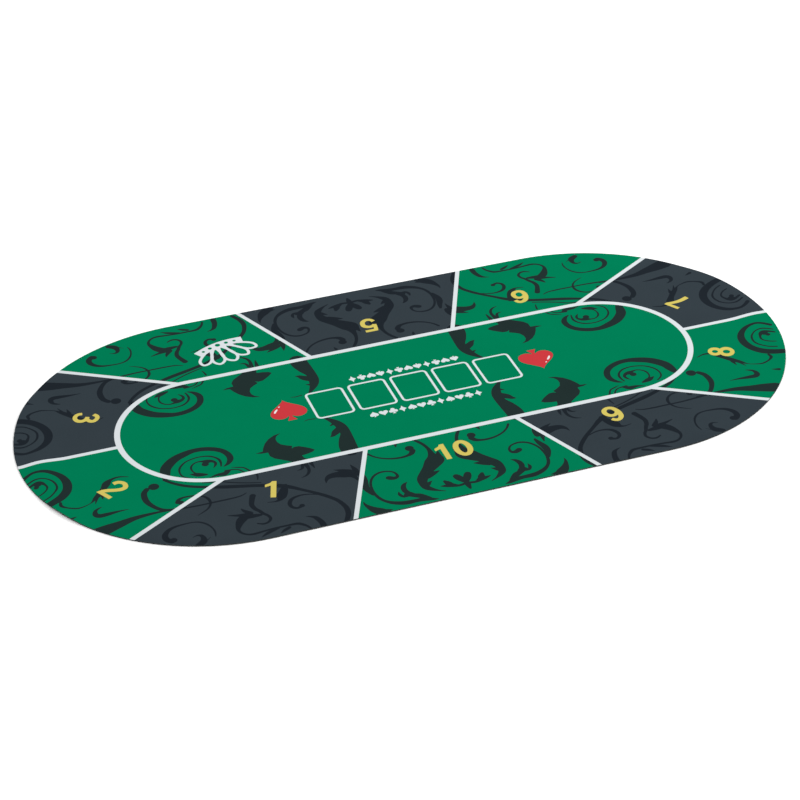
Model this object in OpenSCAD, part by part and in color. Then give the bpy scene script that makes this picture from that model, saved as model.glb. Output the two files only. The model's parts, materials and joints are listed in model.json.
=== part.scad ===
// Folding card-game table top: a flexible mat with a printed cloth face,
// bonded by a glue film to a rubber base. It lies flat on a table. To pack it
// away, the two end panels fold in over their neighbours, and the two halves
// then close over them like a book.
//
// Origin: centre of the underside. +X runs along the mat, +Z is up.
// Units are millimetres.

/* [Mat] */
// Length of the mat, from end to end
mat_l = 1800; // [1400:50:2400]
// Width of the mat, which is also the diameter of its round ends
mat_w = 900; // [600:50:1200]

/* [Layers] */
// Thickness of the rubber base
rubber_t = 2.4; // [1.5:0.1:6]
// Thickness of the glue film between the rubber and the cloth
film_t = 0.1; // [0.1:0.05:0.5]
// Thickness of the printed cloth face
cloth_t = 0.5; // [0.3:0.1:2]

/* [Folds] */
// Gap between two faces that are folded together, which is twice the bend's inner radius
fold_gap = 5; // [2:0.5:15]
// Gap between the tips of the two end panels when both are folded in
tip_gap = 4; // [2:1:40]

/* [Hidden] */
$fn = 360;

panels = ["left_end", "left_centre", "right_centre", "right_end"];
layers = ["rubber_base", "bond_film", "print_cloth"];

mat_t = rubber_t + film_t + cloth_t;
end_r = mat_w / 2;

// An end panel folds in over its neighbour, and its tip stops half of tip_gap short of the middle
centre_fold_x = 0;
end_fold_x = mat_l / 4 + tip_gap / 4;

// The fold axes run across the mat, half of fold_gap above the faces that close on each other.
// The centre fold closes round the folded end panels, so its axis is that far above their backs.
folded_t = mat_t + fold_gap + mat_t;
end_fold_axis = [end_fold_x, 0, mat_t + fold_gap / 2];
centre_fold_axis = [centre_fold_x, 0, folded_t + fold_gap / 2];
echo(end_fold_axis = end_fold_axis, centre_fold_axis = centre_fold_axis);

// Where each panel starts along the mat, with the far end last
panel_x = [-mat_l / 2, -end_fold_x, centre_fold_x, end_fold_x, mat_l / 2];

// The whole outline, a rectangle with full round ends, from height z up by t
module mat_outline(z, t) {
    end_x = mat_l / 2 - end_r;
    translate([0, 0, z]) {
        translate([-end_x, -end_r, 0]) cube([2 * end_x, mat_w, t]);
        for (side = [-1, 1])
            translate([side * end_x, 0, 0]) cylinder(r = end_r, h = t);
    }
}

// The part of a layer between two fold lines
module panel_of_layer(index, z, t) {
    x0 = panel_x[index];
    intersection() {
        mat_outline(z, t);
        translate([x0, -mat_w, z]) cube([panel_x[index + 1] - x0, 2 * mat_w, t]);
    }
}

// Rubber sponge that grips the table and cushions the cards
module rubber_base(index) {
    color("#24282b") panel_of_layer(index, 0, rubber_t);
}

// Hot-melt film that bonds the cloth to the rubber
module bond_film(index) {
    color("#c9c6b4") panel_of_layer(index, rubber_t, film_t);
}

// Smooth polyester cloth that carries the printed layout
module print_cloth(index) {
    color("#067f57") panel_of_layer(index, rubber_t + film_t, cloth_t);
}

for (i = [0 : len(panels) - 1]) {
    rubber_base(i);
    bond_film(i);
    print_cloth(i);
}
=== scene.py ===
# Folding card-game table top: a printed cloth face, a glue film and a rubber sponge base.
# The mat lies flat and folds in four across its length. Lengths in the print are in mm.
import json
import math

import bmesh
import bpy
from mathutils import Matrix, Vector
from mathutils.geometry import delaunay_2d_cdt


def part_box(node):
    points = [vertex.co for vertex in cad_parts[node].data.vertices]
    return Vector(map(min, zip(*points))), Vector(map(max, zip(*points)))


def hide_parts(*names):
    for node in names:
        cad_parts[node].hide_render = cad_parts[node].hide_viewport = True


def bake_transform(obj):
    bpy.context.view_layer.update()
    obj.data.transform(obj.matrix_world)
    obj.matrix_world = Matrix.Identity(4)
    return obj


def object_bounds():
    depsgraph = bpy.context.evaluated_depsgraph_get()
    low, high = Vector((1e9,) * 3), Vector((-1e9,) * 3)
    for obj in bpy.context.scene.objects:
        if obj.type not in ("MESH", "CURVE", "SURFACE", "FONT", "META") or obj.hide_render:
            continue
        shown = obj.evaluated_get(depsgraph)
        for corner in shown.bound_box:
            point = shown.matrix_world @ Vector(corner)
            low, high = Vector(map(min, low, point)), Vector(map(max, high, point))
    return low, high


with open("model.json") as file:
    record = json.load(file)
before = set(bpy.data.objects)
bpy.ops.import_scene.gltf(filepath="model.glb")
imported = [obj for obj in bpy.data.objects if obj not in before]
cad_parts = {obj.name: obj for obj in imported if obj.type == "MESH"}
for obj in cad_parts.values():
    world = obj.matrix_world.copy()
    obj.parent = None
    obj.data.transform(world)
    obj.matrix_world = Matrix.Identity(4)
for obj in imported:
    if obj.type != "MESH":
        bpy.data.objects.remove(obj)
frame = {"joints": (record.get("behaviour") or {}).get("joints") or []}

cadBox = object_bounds()
mm = 0.001


# Camera, lights and floor

cameraValues = {
    "place": (-1.34997, -4.05417, 2.734),
    "turn": (57.0243, 1.3467, -19.0320),
    "lens": 100.19,
    "sensor": 36.0,
    "farClip": 60.0,
}


def makeCamera():
    data = bpy.data.cameras.new("camera")
    data.lens = cameraValues["lens"]
    data.sensor_width = cameraValues["sensor"]
    data.clip_end = cameraValues["farClip"]
    camera = bpy.data.objects.new("camera", data)
    camera.location = cameraValues["place"]
    camera.rotation_euler = [math.radians(a) for a in cameraValues["turn"]]
    bpy.context.scene.collection.objects.link(camera)
    bpy.context.scene.camera = camera


lightValues = {
    "skyStrength": 1.0,
    # name: place, watts, side of the square panel
    "panels": {
        "keyPanel": ((2.6, 1.4, 2.8), 60.0, 2.4),
        "fillPanel": ((-3.4, -1.6, 3.6), 9.0, 3.0),
    },
}


def makeLights():
    world = bpy.data.worlds.new("studio")
    world.use_nodes = True
    sky = world.node_tree.nodes["Background"]
    sky.inputs["Color"].default_value = (1.0, 1.0, 1.0, 1.0)
    sky.inputs["Strength"].default_value = lightValues["skyStrength"]
    bpy.context.scene.world = world
    for name, (place, watts, side) in lightValues["panels"].items():
        data = bpy.data.lights.new(name, "AREA")
        data.energy = watts
        data.size = side
        lamp = bpy.data.objects.new(name, data)
        lamp.location = place
        lamp.rotation_euler = (-Vector(place)).to_track_quat("-Z", "Y").to_euler()
        bpy.context.scene.collection.objects.link(lamp)
    bpy.context.scene.view_settings.view_transform = "Standard"


# a pure white table top, so that it meets the sky with no line
floorValues = {"half": 12.0, "colour": (255, 255, 255), "roughness": 0.95, "specular": 0.1}


def makeFloor():
    bm = bmesh.new()
    bmesh.ops.create_grid(bm, x_segments=1, y_segments=1, size=floorValues["half"])
    floor = pieceFrom(bm, "floor", [floorPaint()])


# Shared mesh and node helpers

def pieceFrom(bm, name, materials):
    mesh = bpy.data.meshes.new(name)
    bm.to_mesh(mesh)
    bm.free()
    for material in materials:
        mesh.materials.append(material)
    piece = bpy.data.objects.new(name, mesh)
    bpy.context.scene.collection.objects.link(piece)
    return piece


def linear(rgb):
    steps = [c / 255 for c in rgb]
    return [s / 12.92 if s <= 0.04045 else ((s + 0.055) / 1.055) ** 2.4 for s in steps]


def newMaterial(name, roughness, specular):
    material = bpy.data.materials.new(name)
    material.use_nodes = True
    tree = material.node_tree
    shader = tree.nodes["Principled BSDF"]
    shader.inputs["Roughness"].default_value = roughness
    shader.inputs["Specular IOR Level"].default_value = specular
    return material, tree, shader


def addNoise(tree, vector, scale, detail, roughness=0.5):
    noise = tree.nodes.new("ShaderNodeTexNoise")
    noise.inputs["Scale"].default_value = scale
    noise.inputs["Detail"].default_value = detail
    noise.inputs["Roughness"].default_value = roughness
    tree.links.new(vector, noise.inputs["Vector"])
    return noise.outputs["Fac"]


def addMath(tree, operation, *values):
    node = tree.nodes.new("ShaderNodeMath")
    node.operation = operation
    for socket, value in zip(node.inputs, values):
        if isinstance(value, (int, float)):
            socket.default_value = value
        else:
            tree.links.new(value, socket)
    return node.outputs[0]


def addStretch(tree, vector, scale):
    mapping = tree.nodes.new("ShaderNodeMapping")
    mapping.inputs["Scale"].default_value = scale
    tree.links.new(vector, mapping.inputs["Vector"])
    return mapping.outputs["Vector"]


def addShades(tree, factor, low, high, dark, light):
    ramp = tree.nodes.new("ShaderNodeValToRGB")
    ramp.color_ramp.elements[0].position = low
    ramp.color_ramp.elements[0].color = (*dark, 1.0)
    ramp.color_ramp.elements[1].position = high
    ramp.color_ramp.elements[1].color = (*light, 1.0)
    tree.links.new(factor, ramp.inputs["Fac"])
    return ramp.outputs["Color"]


def addBump(tree, height, strength, distance, shader):
    bump = tree.nodes.new("ShaderNodeBump")
    bump.inputs["Strength"].default_value = strength
    bump.inputs["Distance"].default_value = distance
    tree.links.new(height, bump.inputs["Height"])
    tree.links.new(bump.outputs["Normal"], shader.inputs["Normal"])


def objectPoint(tree):
    return tree.nodes.new("ShaderNodeTexCoord").outputs["Object"]


def floorPaint():
    material, tree, shader = newMaterial("floor_paint", floorValues["roughness"], floorValues["specular"])
    shader.inputs["Base Color"].default_value = (*linear(floorValues["colour"]), 1.0)
    return material


# The printed layout

layout = {
    "centre": (3.7, -8.0),
    "track": {"halfLength": 677.8, "halfWidth": 201.7, "line": 13.0},
    "shortDivider": {"at": 224.5, "from": 320.0, "lean": 0.418, "line": 10.0},
    "longDivider": {"at": 620.0, "from": 280.0, "lean": 1.62, "line": 11.0},
    "middleDivider": {"left": -2.5, "right": 4.0, "line": 11.0},
    # how far out from the centre the dividers and the panels between them are drawn
    "dividerReach": (150.0, 490.0),
    "middleReach": (600.0, 960.0),
    "panelReach": (400.0, 990.0),
    "lowerShift": {"left": -4.0, "right": 14.0},
    "boxes": {"count": 5, "width": 85.0, "height": 105.0, "pitch": 101.0, "line": 5.5, "corner": 9.0,
              "centre": (13.0, -7.0)},
    "pipRows": {"from": -111.0, "pitch": 22.6, "count": 12, "size": 24.0,
                "near": -88.5, "far": 69.5},
    "spades": {"left": (-287.0, -2.0), "right": (316.0, -2.0), "width": 84.0},
    "crown": {"place": (-352.0, 293.0), "turn": 196.0, "root": -20.0, "spread": 0.55, "lean": 0.75},
    "scrollCentre": (-10.0, -5.5),
}

# size of each suit's pip against the row's, in the order of the near row
pipSizes = {"spade": 0.86, "heart": 0.9, "club": 0.92, "diamond": 1.0}

# seat numbers: number, place, turn in degrees. Seat 4 has the crown, and the 9 is a 6 turned over.
seatNumbers = [
    ("1", (-406.0, -284.5), -17), ("2", (-721.0, -162.0), -61), ("3", (-718.5, 131.0), -115),
    ("5", (1.0, 283.0), 180), ("6", (383.5, 278.0), 168), ("7", (728.5, 117.5), 121),
    ("8", (724.5, -126.0), 68), ("6", (386.5, -276.5), 190), ("1", (-17.0, -283.0), 0),
    ("0", (28.0, -283.5), 0),
]

# numerals on a 40 by 60 cell: brush is x, y, width, and ring is centre, outer and inner radii
numerals = {
    "0": [("ring", [(0, 0), (21, 31), (8, 19)])],
    "1": [("shape", [(-2.5, -30), (9.5, -30), (9.5, 30), (0, 30), (-4.5, 23), (-15, 17.5), (-15, 8.5),
                     (-2.5, 13.5)])],
    "2": [("brush", [(-15, 11, 10.5), (-12, 21, 10.5), (-3, 26.5, 10), (6, 26, 10.5), (14, 19, 11.5),
                     (13.5, 9, 11.5), (5, -3, 11), (-6, -14, 11), (-13.5, -25, 11.5)]),
          ("shape", [(-20, -33), (20, -33), (20, -23), (-18, -23)])],
    "3": [("brush", [(-14.5, 14, 10), (-9, 23, 10), (1, 25.3, 10), (11, 20.5, 10.5), (12.5, 12, 11),
                     (6, 4, 10), (-4, 2.5, 9)]),
          ("brush", [(-4, 2.5, 9), (7, 1, 10), (14, -6, 11), (14, -16, 11), (6, -24, 10), (-4, -25, 10),
                     (-12, -20.5, 10), (-15, -12, 10)])],
    "5": [("shape", [(-13, 30), (-13, 20.5), (17, 20.5), (17, 30)]),
          ("brush", [(-9, 25, 9.5), (-11, 14, 9.5), (-12.5, 0, 9.5)]),
          ("brush", [(-12.5, 1, 9), (-5, 7, 9.5), (4, 7.5, 10.5), (13, 1, 11.5), (14, -9, 11.5),
                     (10, -19.5, 11), (0, -25, 10), (-9.5, -22, 10), (-14.5, -13.5, 10)])],
    "6": [("brush", [(13.5, 16, 10), (8, 23.5, 10), (-1, 25, 10), (-10.5, 17, 11.5), (-14.3, 4, 12),
                     (-14, -9, 12), (-9.5, -20.5, 11), (0, -25.2, 10), (10.5, -20.5, 11), (14.3, -10, 11.5),
                     (10.5, 1.5, 10.5), (1, 6, 9.5), (-8, 2, 9), (-12, -5, 8)])],
    "7": [("shape", [(-19, 30), (-19, 20.5), (19, 20.5), (19, 30)]),
          ("brush", [(14.5, 23, 9), (5, 9, 10.5), (-2, -8, 11.5), (-5.5, -30, 12)])],
    "8": [("ring", [(0, 14), (17.5, 16.5), (6.5, 7)]),
          ("ring", [(0, -12.5), (20, 18.5), (8, 8.5)])],
}

# vine scrolls of one quarter, mirrored both ways about scrollCentre: x, y, width of the brush
vinesOutside = [
    # rim spiral, three turns
    [(868, 176, 18), (846, 167, 19), (824, 152, 20), (808, 130, 20), (802, 105, 20), (805, 82, 18),
     (815, 63, 15), (832, 47, 12), (850, 40, 9), (866, 40, 8), (880, 48, 9), (892, 59, 10)],
    [(864, 152, 4), (848, 144, 4), (836, 132, 4), (827, 118, 5), (825, 104, 5), (829, 88, 5),
     (838, 76, 4), (850, 68, 4), (864, 66, 5), (876, 71, 5), (889, 80, 4)],
    [(872, 131, 3), (858, 124, 4), (848, 114, 4), (845, 104, 5), (848, 94, 6), (853, 86, 10),
     (861, 81, 12), (872, 83, 8), (886, 92, 6)],
    # tendril and its lobes
    [(830, 172, 6), (831, 184, 8), (820, 194, 5), (800, 201, 5), (782, 197, 3), (768, 190, 3),
     (757, 178, 10), (745, 165, 14), (732, 148, 14), (722, 132, 18), (710, 121, 8), (692, 117, 5),
     (672, 124, 2)],
    [(752, 175, 8), (761, 198, 1)],
    [(740, 168, 10), (742, 187, 1)],
    # comma and the tick on the rim
    [(698, 241, 1), (720, 241, 6), (745, 243, 12), (762, 243, 14), (769, 235, 13), (766, 222, 8),
     (756, 215, 4), (750, 213, 1)],
    [(808, 231, 1), (815, 234, 5), (824, 238, 9)],
    # long stem along the seat and the curve that hangs from it
    [(450, 272, 2), (465, 279, 4), (490, 281, 5), (520, 281, 5), (560, 281, 5), (600, 278, 6),
     (641, 274, 7), (691, 277, 14), (731, 288, 24), (756, 295, 32), (785, 304, 38)],
    [(600, 276, 6), (620, 274, 8), (636, 266, 10), (648, 250, 11), (656, 232, 13), (658, 214, 14),
     (655, 196, 13), (646, 184, 12)],
    [(568, 315, 1), (555, 308, 3), (543, 300, 4), (535, 290, 5), (531, 278, 6), (532, 265, 7),
     (538, 254, 6), (548, 246, 5), (562, 242, 5), (580, 241, 6), (592, 246, 9), (597, 255, 10)],
    # long arc from the rim to the racetrack
    [(284, 448, 10), (272, 425, 12), (268, 405, 12), (270, 388, 11), (277, 368, 10), (288, 352, 10),
     (300, 338, 10), (316, 322, 9), (336, 304, 9), (356, 286, 12), (378, 272, 14), (400, 262, 12),
     (430, 252, 11), (460, 243, 12), (490, 234, 12), (520, 223, 10), (548, 211, 9), (570, 198, 9),
     (590, 180, 8), (603, 163, 8)],
    [(410, 247, 3), (440, 237, 4), (470, 224, 4), (490, 213, 4), (510, 208, 4), (530, 203, 3)],
    [(410, 212, 5), (412, 225, 4), (415, 235, 2)],
    [(300, 338, 3), (315, 330, 3), (330, 324, 4), (345, 322, 5), (360, 325, 7), (370, 332, 9),
     (376, 345, 9), (374, 357, 8), (365, 364, 7), (355, 361, 8)],
    [(331, 448, 14), (332, 430, 13), (338, 412, 11), (346, 404, 6), (358, 399, 1)],
    [(365, 275, 10), (375, 295, 20), (385, 312, 22), (392, 322, 10), (402, 325, 4), (418, 322, 2)],
    # leaves beside the short divider
    [(213, 318, 2), (216, 300, 10), (222, 288, 20), (235, 280, 26), (252, 277, 20), (266, 278, 16),
     (276, 286, 9), (281, 299, 1)],
    [(208, 290, 14), (208, 272, 12), (212, 251, 1)],
    [(220, 275, 14), (235, 266, 10), (252, 257, 1)],
    [(303, 208, 12), (300, 230, 8), (303, 245, 7), (312, 256, 5), (325, 261, 1)],
    [(308, 212, 8), (313, 228, 6), (326, 232, 1)],
    [(290, 208, 10), (288, 225, 6), (287, 236, 1)],
    # fleur of the long seats
    [(358, 448, 5), (363, 434, 6), (372, 423, 8), (382, 417, 8), (405, 416, 6), (430, 416, 6),
     (455, 418, 6), (475, 420, 7), (488, 417, 6), (498, 408, 6), (502, 395, 8), (497, 380, 14),
     (488, 365, 20), (475, 355, 20), (460, 358, 14), (444, 360, 8)],
    [(460, 386, 3), (452, 391, 5), (445, 393, 6), (435, 390, 6), (428, 380, 7), (430, 368, 7),
     (437, 358, 8), (443, 345, 9), (449, 335, 10), (452, 320, 11), (448, 305, 12), (442, 290, 13)],
    [(470, 350, 14), (490, 345, 8), (510, 338, 2)],
    [(462, 347, 12), (472, 335, 9), (477, 324, 2)],
    [(400, 424, 8), (412, 430, 8), (423, 438, 1)],
    [(420, 418, 4), (445, 426, 9), (464, 437, 1)],
    # curl at the rim and the big C
    [(594, 418, 14), (580, 408, 16), (577, 395, 11), (580, 386, 8), (588, 383, 4), (598, 387, 1)],
    [(576, 410, 3), (562, 398, 1)],
    [(552, 400, 2), (549, 385, 4), (551, 368, 4), (558, 352, 5), (570, 340, 5), (585, 335, 4),
     (605, 335, 5), (625, 338, 7), (640, 346, 10), (650, 360, 13), (650, 375, 14), (641, 385, 14)],
    # flower of the centre seats
    [(0, 426, 6), (0, 412, 13), (0, 398, 11)],
    [(0, 400, 12), (8, 385, 18), (13, 374, 16)],
    [(5, 406, 8), (20, 408, 8), (32, 402, 14), (45, 400, 10), (57, 397, 2)],
    [(32, 402, 12), (38, 392, 15), (44, 380, 5)],
    # main stem of the centre seats, its teeth and its curls
    [(52, 417, 2), (65, 410, 5), (78, 400, 12), (86, 390, 17), (88, 375, 19), (84, 358, 24),
     (72, 342, 26), (58, 325, 28), (44, 305, 32), (36, 290, 26), (34, 272, 14), (34, 255, 9),
     (38, 237, 8), (45, 222, 8), (53, 210, 7)],
    [(80, 380, 14), (67, 371, 1)],
    [(72, 352, 20), (55, 346, 14), (39, 341, 2)],
    [(60, 332, 20), (42, 318, 22), (26, 302, 24), (22, 285, 14), (17, 268, 1)],
    [(164, 226, 6), (155, 240, 5), (140, 253, 5), (120, 262, 6), (100, 265, 7), (85, 263, 8),
     (74, 258, 12), (68, 248, 14)],
    [(96, 213, 8), (98, 223, 2)],
    [(150, 328, 14), (140, 333, 12), (131, 330, 8), (130, 320, 6), (135, 310, 5), (145, 304, 5),
     (160, 302, 6), (175, 308, 6), (186, 320, 6), (193, 335, 6), (196, 350, 6), (197, 370, 7),
     (193, 390, 8), (185, 405, 8), (172, 417, 11), (155, 425, 13), (140, 428, 14), (120, 428, 12),
     (100, 430, 14), (85, 436, 8), (75, 438, 1)],
    [(200, 375, 8), (206, 355, 14), (206, 338, 16), (200, 318, 12), (196, 300, 5)],
    [(92, 430, 10), (108, 415, 16), (120, 408, 14), (130, 400, 18), (142, 405, 8), (148, 395, 8),
     (147, 384, 1)],
    [(128, 398, 12), (133, 385, 13), (132, 372, 12), (126, 362, 8), (118, 357, 1)],
    [(190, 450, 20), (205, 438, 24), (215, 428, 20), (223, 415, 12), (228, 402, 6), (228, 392, 1)],
    [(178, 440, 1), (192, 440, 12)],
]

vinesInside = [
    # spiral inside the racetrack, three turns
    [(470, 160, 2), (458, 152, 9), (449, 138, 14), (448, 122, 15), (454, 105, 15), (466, 92, 15),
     (482, 83, 15), (500, 78, 15), (520, 78, 16), (540, 84, 20), (560, 93, 22), (576, 106, 24),
     (590, 124, 24), (595, 142, 22), (598, 158, 16)],
    [(475, 158, 3), (472, 145, 5), (472, 132, 6), (478, 120, 5), (490, 110, 5), (505, 106, 4),
     (520, 106, 4), (540, 112, 4), (553, 122, 5), (562, 135, 5), (565, 150, 4), (563, 163, 4),
     (556, 172, 4), (546, 180, 3)],
    [(492, 157, 1), (485, 148, 6), (483, 138, 7), (490, 130, 10), (500, 128, 14), (510, 124, 6),
     (520, 123, 4), (530, 128, 4), (537, 138, 5), (538, 150, 4), (535, 160, 4), (528, 168, 6)],
    [(512, 176, 6), (530, 170, 14), (546, 162, 1)],
    [(460, 178, 4), (475, 187, 14), (492, 186, 8), (511, 191, 1)],
    [(420, 198, 5), (430, 180, 4), (442, 174, 4), (456, 168, 1)],
    [(433, 198, 4), (442, 184, 4), (455, 178, 4), (470, 178, 8)],
    # acanthus beside the card boxes
    [(195, 200, 40), (194, 180, 40), (189, 155, 34), (183, 130, 24), (184, 105, 24), (190, 85, 20),
     (200, 68, 12), (209, 56, 6)],
    [(190, 110, 20), (203, 120, 18), (212, 130, 10), (220, 134, 1)],
    [(196, 86, 10), (208, 92, 1)],
    [(228, 52, 3), (245, 50, 3), (256, 53, 1)],
]

# round ends of the curls: x, y, radius
budsOutside = [(862, 86, 9), (867, 96, 6), (630, 180, 12), (590, 257, 7), (353, 359, 6), (441, 288, 7),
               (637, 382, 8), (72, 238, 10)]
budsInside = [(505, 137, 8)]

# outline of the one broad leaf
leafInside = [(290, 199), (297, 190), (299, 180), (285, 178), (272, 174), (266, 168), (275, 158),
              (285, 150), (295, 143), (305, 142), (312, 146), (308, 137), (320, 130), (330, 122),
              (335, 110), (335, 98), (330, 88), (318, 79), (335, 83), (350, 93), (362, 107),
              (370, 122), (375, 135), (392, 137), (380, 142), (365, 143), (365, 158), (358, 170),
              (345, 180), (332, 190), (325, 199)]


# Drawing the print

drawing = {
    "vineStep": 4.5,  # longest piece of a vine's brush stroke
    "fineStep": 2.5,  # longest piece of any other stroke
    "join": 0.02,  # points this close become one
    "leastArea": 0.02,
    "leastWidth": 0.6,
    "leastRun": 0.05,  # a stroke's side that runs back more than this is pinched to a point
    "roundFrom": 5.0,  # a vine at least this wide gets round ends
    "rimTurn": 0.35,  # width of the strip that turns down at the cut edge
    "rimSides": 90,
    "trackSides": 48,
    "ringSides": 44,
    "spadeSides": 40,
    "pipSides": 20,
    "clubSides": 12,
    "budSides": 14,
    "tipSides": 10,
    "cornerSides": 4,
}


def turned(points, place, degrees, scale=1.0):
    a = math.radians(degrees)
    ca = math.cos(a) * scale
    sa = math.sin(a) * scale
    return [(place[0] + x * ca - y * sa, place[1] + x * sa + y * ca, *rest) for x, y, *rest in points]


def ellipsePoints(x, y, rx, ry, count):
    turns = [2 * math.pi * i / count for i in range(count)]
    return [(x + rx * math.cos(t), y + ry * math.sin(t)) for t in turns]


def stadiumPoints(centre, halfLength, halfWidth, count):
    reach = halfLength - halfWidth
    points = []
    for side, start in ((1, -90), (-1, 90)):
        for i in range(count + 1):
            t = math.radians(start + 180 * i / count)
            points.append((centre[0] + side * reach + halfWidth * math.cos(t),
                           centre[1] + halfWidth * math.sin(t)))
    return points


def boxPoints(centre, width, height, corner):
    count = drawing["cornerSides"]
    points = []
    for i, (sx, sy) in enumerate(((1, 1), (-1, 1), (-1, -1), (1, -1))):
        cx = centre[0] + sx * (width / 2 - corner)
        cy = centre[1] + sy * (height / 2 - corner)
        for k in range(count + 1):
            t = math.radians(90 * i + 90 * k / count)
            points.append((cx + corner * math.cos(t), cy + corner * math.sin(t)))
    return points


def addShape(plan, ink, points):
    area = sum(a[0] * b[1] - b[0] * a[1] for a, b in zip(points, points[1:] + points[:1]))
    if abs(area) < drawing["leastArea"]:
        return
    first = len(plan["points"])
    plan["points"] += [Vector((p[0], p[1])) for p in points]
    order = list(range(first, first + len(points)))
    plan["shapes"].append(order if area > 0 else order[::-1])
    plan["inks"].append(ink)


def smoothed(path, closed, step):
    # a curve through every point of the path, cut into short steps
    count = len(path)
    spans = count if closed else count - 1
    out = []
    for i in range(spans):
        if closed:
            p = [path[(i + k - 1) % count] for k in range(4)]
        else:
            p = [path[min(max(i + k - 1, 0), count - 1)] for k in range(4)]
        length = math.hypot(p[2][0] - p[1][0], p[2][1] - p[1][1])
        steps = max(1, math.ceil(length / step))
        for s in range(steps):
            t = s / steps
            row = []
            for a, b, c, d in zip(*p):
                bend = 2 * a - 5 * b + 4 * c - d
                row.append(b + 0.5 * t * (c - a + t * (bend + t * (3 * (b - c) + d - a))))
            out.append(row)
    if not closed:
        out.append(list(path[-1]))
    return out


def addBrush(plan, ink, path, closed=False):
    # a brush stroke is a chain of four-sided pieces whose width follows the path
    row = smoothed(path, closed, drawing["vineStep" if ink == "vine" else "fineStep"])
    count = len(row)
    sides = []
    for i, (x, y, width) in enumerate(row):
        before = row[i - 1] if closed or i else row[0]
        after = row[(i + 1) % count] if closed or i < count - 1 else row[-1]
        along = Vector((after[0] - before[0], after[1] - before[1])).normalized()
        across = Vector((-along.y, along.x)) * max(width, drawing["leastWidth"]) / 2
        centre = Vector((x, y))
        sides.append((centre + across, centre - across, along))
    for i in range(count if closed else count - 1):
        leftA, rightA, along = sides[i]
        leftB, rightB, _ = sides[(i + 1) % count]
        if (leftB - leftA).dot(along) < drawing["leastRun"]:
            leftA = leftB = (leftA + leftB) / 2
        if (rightB - rightA).dot(along) < drawing["leastRun"]:
            rightA = rightB = (rightA + rightB) / 2
        corners = [rightA, rightB, leftB, leftA]
        corners = [c for k, c in enumerate(corners) if (c - corners[k - 1]).length > 1e-6]
        if len(corners) > 2:
            addShape(plan, ink, [tuple(c) for c in corners])
    if not closed and ink == "vine":
        for x, y, width in (row[0], row[-1]):
            if width > drawing["roundFrom"]:
                addShape(plan, ink, ellipsePoints(x, y, width * 0.48, width * 0.48, drawing["tipSides"]))


def addBand(plan, ink, outer, inner):
    for i in range(len(outer)):
        addShape(plan, ink, [inner[i - 1], outer[i - 1], outer[i], inner[i]])


def addVines(plan, vines, buds, leaves):
    cx, cy = layout["scrollCentre"]
    for sx in (-1, 1):
        for sy in (-1, 1):
            for path in vines:
                addBrush(plan, "vine", [(cx + sx * x, cy + sy * y, w) for x, y, w in path])
            for x, y, r in buds:
                addShape(plan, "vine", ellipsePoints(cx + sx * x, cy + sy * y, r, r, drawing["budSides"]))
            for leaf in leaves:
                addShape(plan, "vine", [(cx + sx * x, cy + sy * y) for x, y in leaf])


def dividerEnds(sideX, sideY):
    # two dividers of one quarter, each from under the racetrack to past the rim
    cx, cy = layout["centre"]
    ends = []
    for values in (layout["shortDivider"], layout["longDivider"]):
        shift = 0.0
        if values is layout["longDivider"] and sideY < 0:
            shift = layout["lowerShift"]["left" if sideX < 0 else "right"]
        line = []
        for y in layout["dividerReach"]:
            out = values["at"] + (y - values["from"]) * values["lean"]
            line.append((cx + shift + sideX * out, cy + sideY * y))
        ends.append(line)
    return ends


def addSeats(plan):
    cx, cy = layout["centre"]
    middle = layout["middleDivider"]
    near, far = layout["panelReach"]
    for side in (-1, 1):
        short, long = dividerEnds(side, -1)
        addShape(plan, "charcoal", [short[0], short[1], long[1], long[0]])
    leftShort, leftLong = dividerEnds(-1, 1)
    rightShort, rightLong = dividerEnds(1, 1)
    addShape(plan, "charcoal", [leftShort[0], leftShort[1], rightShort[1], rightShort[0]])
    for side, long in ((-1, leftLong), (1, rightLong)):
        level = cy + middle["left" if side < 0 else "right"]
        addShape(plan, "charcoal", [long[0], long[1], (cx + side * far, level), (cx + side * near, level)])


def addDividers(plan):
    cx, cy = layout["centre"]
    middle = layout["middleDivider"]
    for sideX in (-1, 1):
        for sideY in (-1, 1):
            shortEnds, longEnds = dividerEnds(sideX, sideY)
            addBar(plan, shortEnds, layout["shortDivider"]["line"])
            addBar(plan, longEnds, layout["longDivider"]["line"])
        level = cy + middle["left" if sideX < 0 else "right"]
        addBar(plan, [(cx + sideX * reach, level) for reach in layout["middleReach"]], middle["line"])


def addBar(plan, ends, width):
    a = Vector(ends[0])
    b = Vector(ends[1])
    along = (b - a).normalized()
    across = Vector((-along.y, along.x)) * width / 2
    addShape(plan, "white", [tuple(p) for p in (a - across, b - across, b + across, a + across)])


def addNumeral(plan, digit, place, degrees):
    sides = drawing["ringSides"]
    for kind, points in numerals[digit]:
        if kind == "ring":
            centre, outer, inner = points
            outer = turned(ellipsePoints(*centre, *outer, sides), place, degrees)
            addBand(plan, "gold", outer, turned(ellipsePoints(*centre, *inner, sides), place, degrees))
        elif kind == "shape":
            addShape(plan, "gold", turned(points, place, degrees))
        else:
            addBrush(plan, "gold", turned(points, place, degrees))


def heartPoints(size, count):
    # the usual heart curve, which is 32 wide before it is scaled to the size
    points = []
    for i in range(count):
        t = 2 * math.pi * i / count
        x = 16 * math.sin(t) ** 3
        y = 13 * math.cos(t) - 5 * math.cos(2 * t) - 2 * math.cos(3 * t) - math.cos(4 * t)
        points.append((x * size / 32, y * size / 32))
    return points


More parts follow.
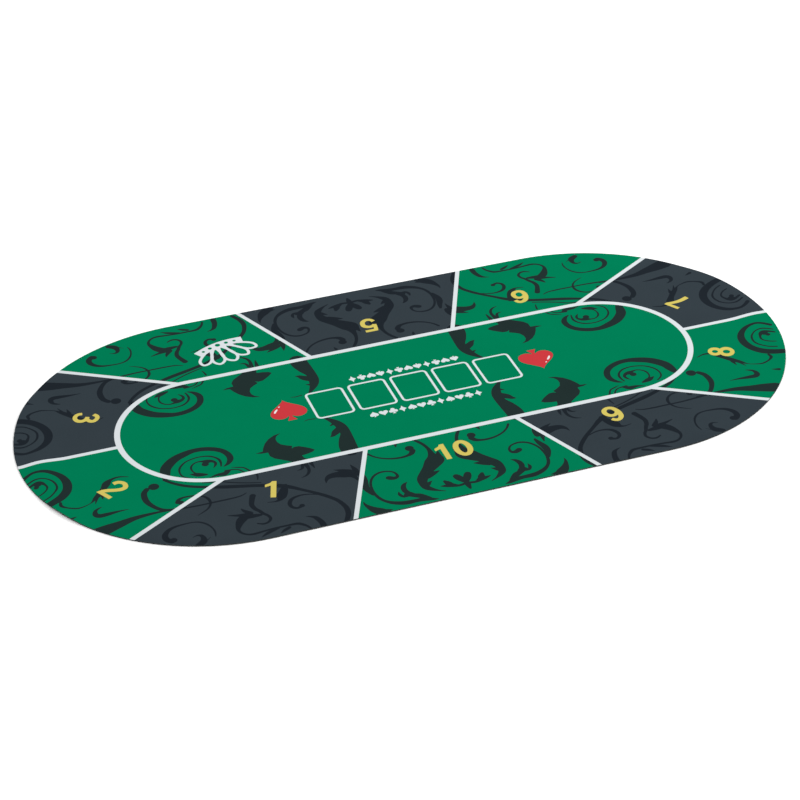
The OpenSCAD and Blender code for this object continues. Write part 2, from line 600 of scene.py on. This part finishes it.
def addSpade(plan, ink, place, degrees, size, count):
    body = [(x, -y) for x, y in heartPoints(size, count)]
    stem = [(-0.04, 0.05), (-0.05, -0.34), (-0.13, -0.5), (0.13, -0.5), (0.05, -0.34), (0.04, 0.05)]
    addShape(plan, ink, turned(body, place, degrees))
    addShape(plan, ink, turned(stem, place, degrees, size))


def addClub(plan, ink, place, degrees, size):
    for x, y in ((-0.24, -0.06), (0.24, -0.06), (0, 0.26)):
        leaf = ellipsePoints(x, y, 0.23, 0.23, drawing["clubSides"])
        addShape(plan, ink, turned(leaf, place, degrees, size))
    stem = [(-0.07, 0.2), (-0.05, -0.25), (-0.17, -0.5), (0.17, -0.5), (0.05, -0.25), (0.07, 0.2)]
    addShape(plan, ink, turned(stem, place, degrees, size))


def addPip(plan, suit, place, degrees, size):
    size *= pipSizes[suit]
    if suit == "spade":
        addSpade(plan, "white", place, degrees, size, drawing["pipSides"])
    elif suit == "club":
        addClub(plan, "white", place, degrees, size)
    elif suit == "heart":
        addShape(plan, "white", turned(heartPoints(size, drawing["pipSides"]), place, degrees))
    else:
        diamond = [(0, 0.52), (0.13, 0.2), (0.37, 0), (0.13, -0.2), (0, -0.52), (-0.13, -0.2), (-0.37, 0),
                   (-0.13, 0.2)]
        addShape(plan, "white", turned(diamond, place, degrees, size))


def addPipRows(plan):
    values = layout["pipRows"]
    suits = list(pipSizes)
    for i in range(values["count"]):
        x = values["from"] + i * values["pitch"]
        addPip(plan, suits[i % 4], (x, values["near"]), 0, values["size"])
        addPip(plan, suits[3 - i % 4], (x, values["far"]), 180, values["size"])


def addTableSpades(plan):
    values = layout["spades"]
    glints = [[(-31, -3, 3), (-27, 4, 5), (-21, 11, 3)], [(-16, 18, 3), (-13, 21, 3)]]
    for place, degrees in ((values["left"], 0), (values["right"], 180)):
        addSpade(plan, "red", place, degrees, values["width"], drawing["spadeSides"])
        for path in glints:
            addBrush(plan, "glint", turned(path, place, degrees))


def addCrown(plan):
    # five looped petals over a band with round holes
    values = layout["crown"]
    place = values["place"]
    degrees = values["turn"]
    loop = [(-4, 0, 7), (-12, 26, 7), (-12, 48, 7), (0, 60, 7), (12, 48, 7), (12, 26, 7), (4, 0, 7)]
    for lean, reach in ((-56, 1.0), (-27, 1.1), (0, 1.14), (27, 1.1), (56, 1.0)):
        petal = [(x * reach, y * reach, w) for x, y, w in loop]
        petal = turned(petal, (lean * values["spread"], values["root"]), -lean * values["lean"])
        addBrush(plan, "white", turned(petal, place, degrees), closed=True)
    band = [(-60, -22, 26), (-30, -31, 24), (0, -34, 24), (30, -31, 24), (60, -22, 26)]
    addBrush(plan, "white", turned(band, place, degrees))
    for x, y, radius in ((-42, -28, 4), (-22, -32, 5), (0, -34, 6.5), (22, -32, 5), (42, -28, 4)):
        hole = ellipsePoints(x, y, radius, radius, drawing["clubSides"])
        addShape(plan, "green", turned(hole, place, degrees))


def trackPoints(out):
    values = layout["track"]
    return stadiumPoints(layout["centre"], values["halfLength"] + out, values["halfWidth"] + out,
                         drawing["trackSides"])


def addTrack(plan):
    half = layout["track"]["line"] / 2
    addBand(plan, "white", trackPoints(half), trackPoints(-half))


def addTrackFill(plan):
    addShape(plan, "green", trackPoints(0.0))


def addCardBoxes(plan):
    values = layout["boxes"]
    width = values["width"]
    height = values["height"]
    corner = values["corner"]
    half = values["line"] / 2
    middle = (values["count"] - 1) / 2
    for i in range(values["count"]):
        centre = (values["centre"][0] + (i - middle) * values["pitch"], values["centre"][1])
        addShape(plan, "white", boxPoints(centre, width + 2 * half, height + 2 * half, corner + half))
        addShape(plan, "green", boxPoints(centre, width - 2 * half, height - 2 * half, corner - half))


def drawPrint(halfLength, halfWidth):
    # later shapes cover earlier ones, and vines darken whatever they cross
    plan = {"points": [], "shapes": [], "inks": []}
    edge = drawing["rimTurn"]
    sides = drawing["rimSides"]
    addShape(plan, "green", stadiumPoints((0, 0), halfLength, halfWidth, sides))
    addShape(plan, "line", stadiumPoints((0, 0), halfLength - edge, halfWidth - edge, sides))
    addSeats(plan)
    addVines(plan, vinesOutside, budsOutside, [])
    addDividers(plan)
    addTrackFill(plan)
    addVines(plan, vinesInside, budsInside, [leafInside])
    addTrack(plan)
    addCardBoxes(plan)
    addPipRows(plan)
    addTableSpades(plan)
    addCrown(plan)
    for digit, place, degrees in seatNumbers:
        addNumeral(plan, digit, place, degrees)
    return plan


def inkOf(plan, shapeIds):
    # 0 is the mat itself, so a triangle that lacks it lies outside
    if 0 not in shapeIds:
        return None
    base = max(i for i in shapeIds if plan["inks"][i] not in ("vine", "line"))
    vine = max((i for i in shapeIds if plan["inks"][i] == "vine"), default=-1)
    ink = plan["inks"][base]
    if vine > base and ink in ("green", "charcoal"):
        return ink + "Vine"
    return ink


# Inks and cloth

# colour of each ink, and how far its shade drifts
inks = {
    "green": {"colour": (1, 124, 84), "drift": 0.05},
    "charcoal": {"colour": (52, 61, 67), "drift": 0.06},
    "greenVine": {"colour": (33, 46, 45), "drift": 0.08},
    "charcoalVine": {"colour": (30, 36, 42), "drift": 0.08},
    "white": {"colour": (223, 229, 232), "drift": 0.02},
    "gold": {"colour": (215, 198, 100), "drift": 0.04},
    "red": {"colour": (204, 59, 65), "drift": 0.04},
    "glint": {"colour": (240, 236, 236), "drift": 0.02},
}
inkOrder = list(inks)

clothValues = {
    "warp": (1500.0, 300.0, 1500.0),
    "weft": (300.0, 1500.0, 300.0),
    "weaveDepth": 0.00030,
    "weaveStrength": 0.6,
    "grain": 0.22,
    "blotch": {"scale": 9.0, "detail": 4.0, "roughness": 0.6},
    "roughness": 0.85,
    "specular": 0.0,
    "sheen": 0.02,
    "sheenRoughness": 0.5,
    "light": 1.26,  # how much brighter than its own colour the lit cloth looks
    "edge": {"colour": (38, 52, 48), "drift": 0.06},
    "back": {"colour": (206, 208, 204), "drift": 0.04},
    "rimDrop": 0.15,
}


def threadHeight(tree):
    # fine threads both ways, laid out on the cloth's own flat map
    flat = tree.nodes.new("ShaderNodeUVMap")
    flat.uv_map = "threads"
    point = flat.outputs["UV"]
    warp = addNoise(tree, addStretch(tree, point, clothValues["warp"]), 1.0, 2.0)
    weft = addNoise(tree, addStretch(tree, point, clothValues["weft"]), 1.0, 2.0)
    return point, addMath(tree, "MAXIMUM", warp, weft)


def clothMaterial(name, base, drift):
    material, tree, shader = newMaterial(name, clothValues["roughness"], clothValues["specular"])
    shader.inputs["Sheen Weight"].default_value = clothValues["sheen"]
    shader.inputs["Sheen Roughness"].default_value = clothValues["sheenRoughness"]
    shader.inputs["Sheen Tint"].default_value = (*[c / max(base) for c in base], 1.0)
    point, threads = threadHeight(tree)
    blotch = addNoise(tree, point, **clothValues["blotch"])
    middled = addMath(tree, "SUBTRACT", threads, 0.5)
    mix = addMath(tree, "MULTIPLY_ADD", middled, clothValues["grain"] / drift, blotch)
    dark = [c * (1 - drift) for c in base]
    light = [min(c * (1 + drift), 1.0) for c in base]
    tree.links.new(addShades(tree, mix, 0.3, 0.7, dark, light), shader.inputs["Base Color"])
    addBump(tree, threads, clothValues["weaveStrength"], clothValues["weaveDepth"], shader)
    return material


def printInk(name):
    values = inks[name]
    base = [c / clothValues["light"] for c in linear(values["colour"])]
    return clothMaterial("ink_" + name, base, values["drift"])


def clothBack():
    values = clothValues["back"]
    return clothMaterial("cloth_back", linear(values["colour"]), values["drift"])


def clothEdge():
    values = clothValues["edge"]
    return clothMaterial("cloth_edge", linear(values["colour"]), values["drift"])


# Glue film and rubber

filmValues = {
    "colour": (128, 126, 112),
    "roughness": 0.45,
    "specular": 0.3,
    "hazeScale": 160.0,
    "hazeDetail": 3.0,
    "hazeDark": 0.86,
    "hazeStrength": 0.2,
    "hazeDepth": 0.0002,
}


def glueFilm():
    material, tree, shader = newMaterial("glue_film", filmValues["roughness"], filmValues["specular"])
    base = linear(filmValues["colour"])
    haze = addNoise(tree, objectPoint(tree), filmValues["hazeScale"], filmValues["hazeDetail"])
    shade = addShades(tree, haze, 0.3, 0.7, [c * filmValues["hazeDark"] for c in base], base)
    tree.links.new(shade, shader.inputs["Base Color"])
    addBump(tree, haze, filmValues["hazeStrength"], filmValues["hazeDepth"], shader)
    return material


rubberValues = {
    "colour": (34, 37, 39),
    "roughness": 0.8,
    "specular": 0.25,
    "pitch": 2.6,
    "gripDepth": 0.0005,
    "gripStrength": 0.7,
    "cellScale": 1400.0,
    "cellShade": 0.3,  # share of the cells in the colour
    "cellDepth": 0.25,  # and in the bump
    "smearScale": 14.0,
    "smearDetail": 4.0,
    "darkest": 0.75,
    "lightest": 1.35,
    "edgeRound": 0.35,
    "endSides": 90,
}
# a wave texture of scale 1 repeats at this distance
wavePeriod = 0.314


def rubberSponge():
    # open sponge cells all over, with a basket-weave grip pattern pressed in
    values = rubberValues
    material, tree, shader = newMaterial("rubber_sponge", values["roughness"], values["specular"])
    base = linear(values["colour"])
    dark = [c * values["darkest"] for c in base]
    light = [c * values["lightest"] for c in base]
    point = objectPoint(tree)
    cells = tree.nodes.new("ShaderNodeTexVoronoi")
    cells.inputs["Scale"].default_value = values["cellScale"]
    tree.links.new(point, cells.inputs["Vector"])
    smear = addNoise(tree, point, values["smearScale"], values["smearDetail"])
    pores = addMath(tree, "MULTIPLY", cells.outputs["Distance"], values["cellShade"])
    tone = addMath(tree, "ADD", pores, smear)
    tree.links.new(addShades(tree, tone, 0.4, 0.9, dark, light), shader.inputs["Base Color"])
    waves = []
    for axis in ("X", "Y"):
        wave = tree.nodes.new("ShaderNodeTexWave")
        wave.wave_type = "BANDS"
        wave.bands_direction = axis
        wave.wave_profile = "SIN"
        wave.inputs["Scale"].default_value = wavePeriod / (values["pitch"] * mm)
        wave.inputs["Distortion"].default_value = 0.0
        tree.links.new(point, wave.inputs["Vector"])
        waves.append(wave.outputs["Fac"])
    grip = addMath(tree, "MULTIPLY", waves[0], waves[1])
    pits = addMath(tree, "MULTIPLY", cells.outputs["Distance"], values["cellDepth"])
    addBump(tree, addMath(tree, "ADD", grip, pits), values["gripStrength"], values["gripDepth"], shader)
    return material


# Zones and rulings

# Each layer is one sheet in the real thing. It is cut where it never bends, midway between two
# folds, so that each zone crosses one fold and reaches into the two panels on its sides.
foldValues = {"endBend": 8.0, "centreBend": 12.0, "rulingStep": 1.0, "sharpFrom": 24.0}

# how far the ends curl off the table, by distance along the mat
curlValues = {
    "left": {"start": -790.0, "peak": -852.0, "end": -900.0, "height": 4.0, "tip": 0.0},
    "right": {"start": 800.0, "peak": 870.0, "end": 900.0, "height": 4.0, "tip": 3.0},
    "steps": 12,
}


def eased(share):
    return 0.5 - 0.5 * math.cos(math.pi * share)


def curlHeight(values, x):
    before = (x - values["start"]) / (values["peak"] - values["start"])
    after = (x - values["peak"]) / (values["end"] - values["peak"])
    if before <= 0:
        return 0.0
    if before < 1:
        return values["height"] * eased(before)
    return values["height"] + (values["tip"] - values["height"]) * eased(min(after, 1.0))


def curlRulings():
    rows = []
    for side in ("left", "right"):
        values = curlValues[side]
        for a, b in (("start", "peak"), ("peak", "end")):
            for i in range(curlValues["steps"]):
                rows.append(values[a] + (values[b] - values[a]) * i / curlValues["steps"])
        rows.append(values["end"])
    return sorted((x, curlHeight(curlValues["left" if x < 0 else "right"], x)) for x in set(rows))


curlRows = curlRulings()


def liftAt(x):
    # straight between rulings, so every strip stays flat
    for (xa, za), (xb, zb) in zip(curlRows, curlRows[1:]):
        if xa <= x / mm <= xb:
            return (za + (zb - za) * (x / mm - xa) / (xb - xa)) * mm
    return 0.0


def foldX(name):
    return next(j["pos_m"][0] for j in frame["joints"] if j["name"] == name)


# Each pair starts with the body on the +X side.
zones = [
    {"name": "left_zone", "fold": "left_end_fold", "bodies": ("left_centre", "left_end"),
     "bend": "endBend"},
    {"name": "middle_zone", "fold": "centre_fold", "bodies": ("right_centre", "left_centre"),
     "bend": "centreBend"},
    {"name": "right_zone", "fold": "right_end_fold", "bodies": ("right_end", "right_centre"),
     "bend": "endBend"},
]


def placeZones():
    folds = [foldX(z["fold"]) for z in zones]
    cuts = [cadBox[0][0], (folds[0] + folds[1]) / 2, (folds[1] + folds[2]) / 2, cadBox[1][0]]
    for i, zone in enumerate(zones):
        zone["foldX"] = folds[i]
        zone["from"] = cuts[i]
        zone["to"] = cuts[i + 1]
        half = foldValues[zone["bend"]]
        step = foldValues["rulingStep"]
        rows = [folds[i] + (-half + k * step) * mm for k in range(round(2 * half / step) + 1)]
        rows += [x * mm for x, _ in curlRows]
        zone["rulings"] = [x for x in sorted(rows) if zone["from"] < x < zone["to"]]


def everything(bm):
    return bm.verts[:] + bm.edges[:] + bm.faces[:]


def keepZone(bm, zone):
    for x, sign in ((zone["from"], -1), (zone["to"], 1)):
        if cadBox[0][0] < x < cadBox[1][0]:
            bmesh.ops.bisect_plane(bm, geom=everything(bm), dist=1e-7, plane_co=(x, 0, 0),
                                   plane_no=(sign, 0, 0), clear_outer=True)


def addRulings(bm, zone):
    for x in zone["rulings"]:
        bmesh.ops.bisect_plane(bm, geom=everything(bm), dist=1e-7, plane_co=(x, 0, 0),
                               plane_no=(1, 0, 0))


def lift(bm):
    for v in bm.verts:
        v.co.z += liftAt(v.co.x)


def finishPiece(piece, zone, layer):
    for polygon in piece.data.polygons:
        polygon.use_smooth = True
    piece.data.set_sharp_from_angle(angle=math.radians(foldValues["sharpFrom"]))
    a, b = zone["bodies"]
    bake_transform(piece)
    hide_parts(layer + "_" + a, layer + "_" + b)


# Rubber and film: a stadium slab cut into zones

def slabFace(bm, z):
    radius = cadBox[1][1]
    reach = cadBox[1][0] - radius
    for side in (1, -1):
        start = bm.verts.new((side * reach, -side * radius, z))
        bmesh.ops.spin(bm, geom=[start], cent=(side * reach, 0, z), axis=(0, 0, 1), angle=math.pi,
                       steps=rubberValues["endSides"])
    loose = [v for v in bm.verts if len(v.link_edges) == 1]
    for sign in (-1, 1):
        pair = [v for v in loose if v.co.y * sign > 0]
        bm.edges.new(pair)
    bmesh.ops.contextual_create(bm, geom=bm.edges[:])


def slabZone(zone, low, high, edgeRound):
    bm = bmesh.new()
    slabFace(bm, low)
    wall = bmesh.ops.extrude_face_region(bm, geom=bm.faces[:])
    bmesh.ops.translate(bm, verts=[g for g in wall["geom"] if isinstance(g, bmesh.types.BMVert)],
                        vec=(0, 0, high - low))
    bmesh.ops.recalc_face_normals(bm, faces=bm.faces[:])
    if edgeRound:
        rim = [e for e in bm.edges if abs(e.verts[0].co.z - e.verts[1].co.z) < 1e-6]
        bmesh.ops.bevel(bm, geom=rim, offset=edgeRound, offset_type="OFFSET", affect="EDGES", segments=2,
                        profile=0.5, material=-1)
    keepZone(bm, zone)
    holes = [e for e in bm.edges if e.is_boundary]
    if holes:
        bmesh.ops.holes_fill(bm, edges=holes, sides=0)
    addRulings(bm, zone)
    bmesh.ops.triangulate(bm, faces=[f for f in bm.faces if len(f.verts) > 4])
    bmesh.ops.recalc_face_normals(bm, faces=bm.faces[:])
    lift(bm)
    return bm


def layerHeights(layer):
    low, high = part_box(layer + "_left_centre")
    return low[2], high[2]


def makeRubber(zone, material):
    low, high = layerHeights("rubber_base")
    bm = slabZone(zone, low, high, rubberValues["edgeRound"] * mm)
    piece = pieceFrom(bm, "rubber_base_" + zone["name"], [material])
    finishPiece(piece, zone, "rubber_base")
    return piece


def makeFilm(zone, material):
    low, high = layerHeights("bond_film")
    bm = slabZone(zone, low, high, 0.0)
    piece = pieceFrom(bm, "bond_film_" + zone["name"], [material])
    finishPiece(piece, zone, "bond_film")
    return piece


# Printed cloth

def printedFace(z):
    halfLength = cadBox[1][0] / mm
    halfWidth = cadBox[1][1] / mm
    plan = drawPrint(halfLength, halfWidth)
    points, _, triangles, _, _, owners = delaunay_2d_cdt(
        plan["points"], [], plan["shapes"], 0, drawing["join"], True)
    bm = bmesh.new()
    corners = [bm.verts.new((p.x * mm, p.y * mm, z)) for p in points]
    for triangle, shapeIds in zip(triangles, owners):
        ink = inkOf(plan, shapeIds)
        if ink:
            face = bm.faces.new([corners[i] for i in triangle])
            face.material_index = inkOrder.index(ink)
    bmesh.ops.delete(bm, geom=[v for v in bm.verts if not v.link_faces], context="VERTS")
    print("print drawn:", len(plan["shapes"]), "shapes,", len(bm.faces), "faces")
    return bm


def onRim(co):
    radius = cadBox[1][1]
    reach = cadBox[1][0] - radius
    out = math.hypot(max(abs(co.x) - reach, 0.0), co.y)
    return out > radius - drawing["rimTurn"] * mm / 2


# where the cloth's face, cut edge and back lie on the map for baking, from v to v
bakeStrips = {"face": (0.02, 1.0), "edge": (0.0, 0.007), "back": (0.010, 0.017)}


def inStrip(name, share):
    low, high = bakeStrips[name]
    return low + (high - low) * share


def mapCloth(bm, zone, low, high):
    # one flat map in metres for the threads, and one that fills the square for baking
    threads = bm.loops.layers.uv.new("threads")
    bake = bm.loops.layers.uv.new("OFBake")
    width = zone["to"] - zone["from"]
    height = cadBox[1][1] - cadBox[0][1]
    edgeInk = len(inkOrder)
    for face in bm.faces:
        for loop in face.loops:
            x, y, z = loop.vert.co
            loop[threads].uv = (x, y)
            u = (x - zone["from"]) / width
            v = (y - cadBox[0][1]) / height
            if face.material_index < edgeInk:
                loop[bake].uv = (u, inStrip("face", v))
            elif face.material_index == edgeInk:
                loop[bake].uv = ((u + v) / 2, inStrip("edge", (z - low) / (high - low)))
            else:
                loop[bake].uv = (u, inStrip("back", v))


def makeCloth(zone, sheet, materials):
    low, high = layerHeights("print_cloth")
    bm = sheet.copy()
    keepZone(bm, zone)
    middle = (low + high) / 2
    under = bmesh.ops.extrude_face_region(bm, geom=bm.faces[:])["geom"]
    bmesh.ops.translate(bm, verts=[g for g in under if isinstance(g, bmesh.types.BMVert)],
                        vec=(0, 0, low - high))
    # the underside carries no print, so the print's edges go from it, but not from its outline
    plain = [g for g in under if isinstance(g, bmesh.types.BMEdge) and not any(
        abs(f.calc_center_median().z - middle) < 1e-5 for f in g.link_faces)]
    bmesh.ops.dissolve_limit(bm, angle_limit=0.01, verts=[], edges=plain)
    addRulings(bm, zone)
    bmesh.ops.recalc_face_normals(bm, faces=bm.faces[:])
    for face in bm.faces:
        if abs(face.normal.z) < 0.5:
            face.material_index = len(inkOrder)
        elif face.normal.z < 0:
            face.material_index = len(inkOrder) + 1
    mapCloth(bm, zone, low, high)
    for v in bm.verts:
        if v.co.z > middle and onRim(v.co):
            v.co.z -= clothValues["rimDrop"] * mm
    lift(bm)
    bmesh.ops.triangulate(bm, faces=[f for f in bm.faces if len(f.verts) > 4])
    piece = pieceFrom(bm, "print_cloth_" + zone["name"], materials)
    finishPiece(piece, zone, "print_cloth")
    print(piece.name, len(piece.data.polygons), "faces")
    return piece


def flatArea(zone):
    # the cut's flat area: a rectangle, or a rectangle with one round end
    radius = cadBox[1][1]
    reach = cadBox[1][0] - radius
    straight = min(zone["to"], reach) - max(zone["from"], -reach)
    area = straight * 2 * radius
    if zone["to"] > reach or zone["from"] < -reach:
        area += math.pi * radius ** 2 / 2
    return area


def makeMat():
    placeZones()
    low, high = layerHeights("print_cloth")
    sheet = printedFace(high)
    materials = [printInk(name) for name in inkOrder] + [clothEdge(), clothBack()]
    sponge = rubberSponge()
    glue = glueFilm()
    for zone in zones:
        rubber = makeRubber(zone, sponge)
        film = makeFilm(zone, glue)
        cloth = makeCloth(zone, sheet, materials)
        flatArea(zone)
    sheet.free()
    print("mat made in", len(zones), "zones")


makeCamera()
print("camera set")
makeLights()
makeFloor()
print("lights and floor set")
makeMat()
